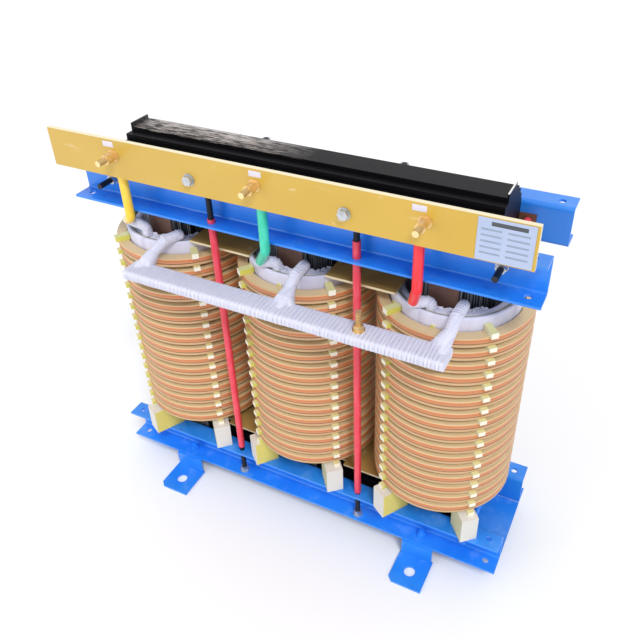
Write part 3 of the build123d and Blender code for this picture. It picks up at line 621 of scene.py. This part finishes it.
def wrap_arms(material):
    """Round turns of tape on the three arms and a fan at each root."""
    bar_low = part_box("star_bar")[0]
    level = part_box("taped_layers")[1].z + 11 * MM
    line, bar_level = bar_low.y + STAR_WIDTH / 2, bar_low.z + STAR_THICKNESS / 2
    flares = []
    arms = zip(COILS.items(), ARM_ROOTS, ARM_TIPS, FAN_SHIFTS, FAN_WIDTHS)
    for (name, x), root, (tip_radius, tip_angle), inward, wide in arms:
        start = Vector((x + root, line, bar_level))
        fan = start + Vector((inward, 15 * MM, 2 * MM))
        tip = polar(x, tip_radius, tip_angle, level)
        share = (line + ARM_SHOULDER) / (line - tip.y)
        shoulder = Vector((start.x + share * (tip.x - start.x), -ARM_SHOULDER, level))
        middle = start.lerp(shoulder, 0.62)
        wrap_round("arm_tape_" + name, (middle, shoulder, tip), ARM_RADIUS, material)
        flares.append(flared_root(fan, middle, wide, ARM_RADIUS + 0.5 * MM))
    return dress(join(flares, "arm_fans"), material, 40)


def rounded_corner(start, corner, end, reach, points=5):
    """Points from start to end that cut the corner with a smooth bend."""
    before = corner + (start - corner).normalized() * min(reach, (start - corner).length)
    after = corner + (end - corner).normalized() * min(reach, (end - corner).length)
    shares = [number / (points - 1) for number in range(points)]
    bend = [before.lerp(corner, s).lerp(corner.lerp(after, s), s) for s in shares]
    return [start, *bend, end]


def wrap_lead_roots(material):
    """Loose turns of tape where each lead goes over to its winding."""
    top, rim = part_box("taped_layers")[1].z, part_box("inner_winding_left")[1].z
    for (name, x), (across, before, z), angle in zip(COILS.items(), LEAD_ENDS, ROOT_ANGLES):
        foot = polar(x, INNER_MIDDLE, angle, rim)
        crest = Vector((foot.x, foot.y, max(top + 11.2 * MM, z - 18 * MM)))
        end = Vector((x + across, before, z))
        start = end.lerp(crest, 0.3)
        path = rounded_corner(start, crest, foot, 13 * MM)
        wrap_round("lead_tape_" + name, path, ROOT_RADIUS, material, 5 * MM, 1.8)


def fringe(name, x, material):
    """Loose ends of tape that stand up round the front of an inner winding."""
    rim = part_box("inner_winding_" + name)[1].z
    bpy.ops.mesh.primitive_cube_add(size=1, location=(0, 0, 0))
    tab = bpy.context.active_object
    tab.scale = (9 * MM, 1.4 * MM, 15 * MM)
    settle(tab)
    bpy.ops.object.mode_set(mode="EDIT")
    bpy.ops.mesh.select_all(action="SELECT")
    bpy.ops.mesh.bevel(offset=0.4 * MM, segments=1)
    bpy.ops.object.mode_set(mode="OBJECT")
    tabs, angle = [], -118.0
    while angle < -38:
        height = TURNS.uniform(-5, 1) * MM
        place = Matrix.Translation(polar(x, TURNS.uniform(100.5, 103.5) * MM, angle, rim + height))
        place @= Matrix.Rotation(math.radians(angle + 90 + TURNS.uniform(-14, 14)), 4, "Z")
        place @= Matrix.Rotation(math.radians(TURNS.uniform(-16, 22)), 4, "X")
        place @= Matrix.Rotation(math.radians(TURNS.uniform(-40, 40)), 4, "Y")
        tabs.append(copy_of(tab, place))
        angle += TURNS.uniform(1.8, 3.0)
    bpy.data.objects.remove(tab)
    return dress(join(tabs, "tape_fringe_" + name), material, 30)


# ------------------------------------------------------------------ board dressing
def thin_plate(name, x, z, width, height, front, thickness):
    """A flat plate with soft edges on the board's front face."""
    bpy.ops.mesh.primitive_cube_add(size=1, location=(x, front - thickness / 2, z))
    plate = bpy.context.active_object
    plate.scale = (width, thickness, height)
    settle(plate)
    plate.name = name
    cut = plate.modifiers.new("edge", "BEVEL")
    cut.width, cut.segments = thickness * 0.4, 2
    bpy.ops.object.modifier_apply(modifier=cut.name)
    return plate


def board_stickers(material):
    """A small bare label over each terminal."""
    board_low, board_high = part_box("terminal_board")
    stud_low, stud_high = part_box("terminal_studs")
    middle = (stud_low.x + stud_high.x) / 2
    labels = []
    for coil_x, aside in zip(COILS.values(), LABEL_SHIFTS):
        x = middle + coil_x + aside
        labels.append(thin_plate("label", x, board_high.z - 10 * MM, 25 * MM, 11 * MM, board_low.y, 0.5 * MM))
    return dress(join(labels, "terminal_labels"), material)


def plate_fields(dark, grey):
    """Fields of colour on the nameplate: a heading band and rows of plain dashes."""
    low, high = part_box("nameplate")
    width = high.x - low.x
    heading = thin_plate("heading", low.x + 0.55 * width, high.z - 9 * MM, 0.62 * width, 7 * MM,
                         low.y, 0.3 * MM)
    dress(heading, dark).name = "plate_heading"
    rows = []
    for row in range(5):
        z = high.z - (20 + 10.5 * row) * MM
        for start, length in ((0.07, 0.36), (0.53, 0.38)):
            rows.append(thin_plate("row", low.x + (start + length / 2) * width, z, length * width, 3.2 * MM,
                                   low.y, 0.25 * MM))
    dress(join(rows, "plate_rows"), grey)


# ------------------------------------------------------------------ stage
def make_stage():
    bpy.ops.mesh.primitive_plane_add(size=14, location=(0, 0, -0.2 * MM))
    floor = bpy.context.active_object
    floor.name = "studio_floor"
    material, t, shader = new_material("studio_floor")
    finish_shader(shader, Base_Color=(0.9, 0.9, 0.9, 1), Roughness=1.0, Specular_IOR_Level=0.0)
    floor.data.materials.append(material)
    world = bpy.data.worlds.new("studio")
    bpy.context.scene.world = world
    world.use_nodes = True
    t = Tree(world.node_tree)
    background = world.node_tree.nodes["Background"]
    rays = t.add("ShaderNodeLightPath").outputs
    seen = t.math("MAXIMUM", rays["Is Camera Ray"], rays["Is Glossy Ray"])
    t.feed(background, "Color", t.mix(seen, (0.95, 0.965, 1.0, 1), (1, 1, 1, 1)))
    t.feed(background, "Strength", t.math("ADD", SKY, t.math("MULTIPLY", seen, 1 - SKY)))


def sun_lamp(place, strength):
    lamp = bpy.data.lights.new("sun", "SUN")
    lamp.energy, lamp.angle = strength, math.radians(SUN_ANGLE)
    holder = bpy.data.objects.new("sun", lamp)
    bpy.context.collection.objects.link(holder)
    holder.rotation_euler = (-Vector(place)).to_track_quat("-Z", "Y").to_euler()


def area_lamp(name, place, target, size, power):
    lamp = bpy.data.lights.new(name, "AREA")
    lamp.shape, lamp.size, lamp.energy = "SQUARE", size, power
    holder = bpy.data.objects.new(name, lamp)
    bpy.context.collection.objects.link(holder)
    holder.location = place
    holder.rotation_euler = (Vector(target) - Vector(place)).to_track_quat("-Z", "Y").to_euler()


def make_camera():
    """Views the transformer from the front right and above."""
    azimuth, elevation, roll = (math.radians(degrees) for degrees in CAMERA_ANGLES)
    back = Vector((math.sin(azimuth) * math.cos(elevation), -math.cos(azimuth) * math.cos(elevation),
                   math.sin(elevation)))
    right = Vector((math.cos(azimuth), math.sin(azimuth), 0))
    up = right.cross(-back)
    level_right = math.cos(roll) * right + math.sin(roll) * up
    level_up = -math.sin(roll) * right + math.cos(roll) * up
    data = bpy.data.cameras.new("camera")
    data.sensor_width, data.lens = 36, CAMERA_LENS
    data.shift_x, data.shift_y = CAMERA_SHIFT
    camera = bpy.data.objects.new("camera", data)
    bpy.context.collection.objects.link(camera)
    turn = Matrix((level_right, level_up, back)).transposed().to_4x4()
    camera.matrix_world = Matrix.Translation(CAMERA_PLACE) @ turn
    bpy.context.scene.camera = camera


# ------------------------------------------------------------------ all together
def make_paints():
    """The finish of every CAD node, by the start of the node's name. The first that fits is taken."""
    low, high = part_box("disc_winding_left")
    tape = cotton_tape("cotton_tape", "#D6D6E4", 105.0, 14.0)
    paint = clamp_paint()
    zinc = zinc_plate("zinc_plate")
    brass = mottled("brass", "#EBCB90", "#D2A868", 80.0, 0.6, 0.1, Metallic=0.7, Roughness=0.32)
    sleeve = heat_shrink("rod_sleeve", "#E0324A", "#E8485C")
    stud = threaded("stud_thread", "#2E3036", "#0B0B0D", "Y", 0.5, 0.4)
    return {
        "core_limb": leg_sheets(),
        "core_": core_enamel(*BARE_METAL),
        "limb_strips": mottled("leg_strip", "#79594C", "#6A4A3E", 14.0, 0.8, 0.3, Roughness=0.6),
        "yoke_boards": mottled("yoke_board", "#6E4A38", "#5C3C2E", 20.0, 0.8, 0.3, Roughness=0.6),
        "window_plates": board_laminate("window_laminate", "#A8834A", "#B49056", "#DCCDA6", 2),
        "clamp_upper": paint,
        "clamp_lower": paint,
        "cross_plates": paint,
        "foot_": paint,
        "board_brackets": paint,
        "clamp_studs": painted_below(stud, PAINT_TOP),
        "clamp_stud_sleeves": painted_below(heat_shrink("stud_sleeve", "#EE3F58", "#F4566C"), PAINT_TOP),
        "clamp_stud": painted_below(zinc_plate("stud_zinc"), PAINT_TOP),
        "tie_rods": threaded("rod_thread", "#2A2B30", "#0B0B0D", "Z", 0.5, 0.45),
        "tie_rod_sleeves": sleeve,
        "tie_rod_": zinc,
        "terminal_board": board_laminate("board_laminate", "#CCA63C", "#D4AE46", "#ECE0BC", 1),
        "terminal_studs": threaded("terminal_thread", "#F0D8A0", "#9A7440", "Y", 0.6, 0.3),
        "star_bolt": threaded("star_thread", "#E8C080", "#8A5C3C", "Z", 0.6, 0.3),
        "terminal_": brass,
        "star_nut": brass,
        "star_washer": brass,
        "board_": zinc,
        "nameplate": mottled("nameplate_face", "#B4C0DC", "#A8B6D4", 40.0, 0.5, 0.05,
                             Metallic=0.2, Roughness=0.35),
        "lead_lugs": mottled("tinned_lug", "#C8C4BC", "#B0ACA4", 60.0, 0.5, 0.1,
                             Metallic=0.8, Roughness=0.35),
        "lead_roots": tape,
        "star_bar": tape,
        "inner_winding": tape,
        "taped_layers": cotton_tape("layer_tape", "#D6D5E8", 16.0, 60.0),
        "barrier_tubes": mottled("barrier_tube", "#9A9668", "#86835C", 30.0, 0.6, 0.2, Roughness=0.5),
        "disc_winding": winding_wire(low.z, disc_pitch(low, high)),
        # The last colour of each is the painted light on the upward faces.
        "spacers": cut_stick("spacer_stick", SPACER_END, "#D6D04A", "#E2DDB8", "#EFEDDA", "#DAD69A"),
        "support_blocks": cut_stick("support_block", BLOCK_END, "#DCCB5A", "#C6C49A", "#D6D4CE", "#D8D4CC"),
        "phase_lead_left": heat_shrink("lead_yellow", "#F8C82E", "#FBD651"),
        "phase_lead_middle": heat_shrink("lead_green", "#2CC8A4", "#46D8BC"),
        "phase_lead_right": heat_shrink("lead_red", "#F51E2C", "#F73440"),
    }


def paint_frame(paints):
    """Gives every CAD node its finish."""
    for name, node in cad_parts.items():
        for key, material in paints.items():
            if name.startswith(key):
                node.data.materials.clear()
                node.data.materials.append(material)
                break
        else:
            raise ValueError("no finish for " + name)


def main():
    GROUPS["mottle"] = make_mottle()
    GROUPS["coil_place"] = make_coil_place()
    paints = make_paints()
    wire, tape = paints["disc_winding"], paints["star_bar"]
    paint_frame(paints)
    for name, x in COILS.items():
        disc_stack(name, x, wire)
    wrap_bar(tape)
    wrap_arms(tape)
    wrap_lead_roots(tape)
    for name, x in COILS.items():
        fringe(name, x, tape)
    smooth_tubes(paints)
    board_stickers(mottled("label_paper", "#DCD6E4", "#CDC8D8", 60.0, 0.4, 0.05, Roughness=0.6))
    plate_fields(mottled("plate_dark", "#4A4E55", "#3C4046", 60.0, 0.4, 0.05, Roughness=0.5),
                 mottled("plate_grey", "#93A0B4", "#8794AC", 60.0, 0.4, 0.05, Roughness=0.5))
    make_stage()
    sun_lamp(SUN_FROM, SUN_STRENGTH)
    area_lamp("fill", FILL_PLACE, FILL_TARGET, FILL_SIZE, FILL_POWER)
    make_camera()
    bpy.context.scene.view_settings.view_transform = "Standard"


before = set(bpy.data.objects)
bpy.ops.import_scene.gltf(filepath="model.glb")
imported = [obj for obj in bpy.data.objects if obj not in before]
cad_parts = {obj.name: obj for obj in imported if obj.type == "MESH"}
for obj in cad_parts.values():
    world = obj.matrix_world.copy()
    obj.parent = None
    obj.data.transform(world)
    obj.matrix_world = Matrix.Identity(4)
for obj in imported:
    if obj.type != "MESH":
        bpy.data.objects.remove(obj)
clear_selection()
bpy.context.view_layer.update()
main()
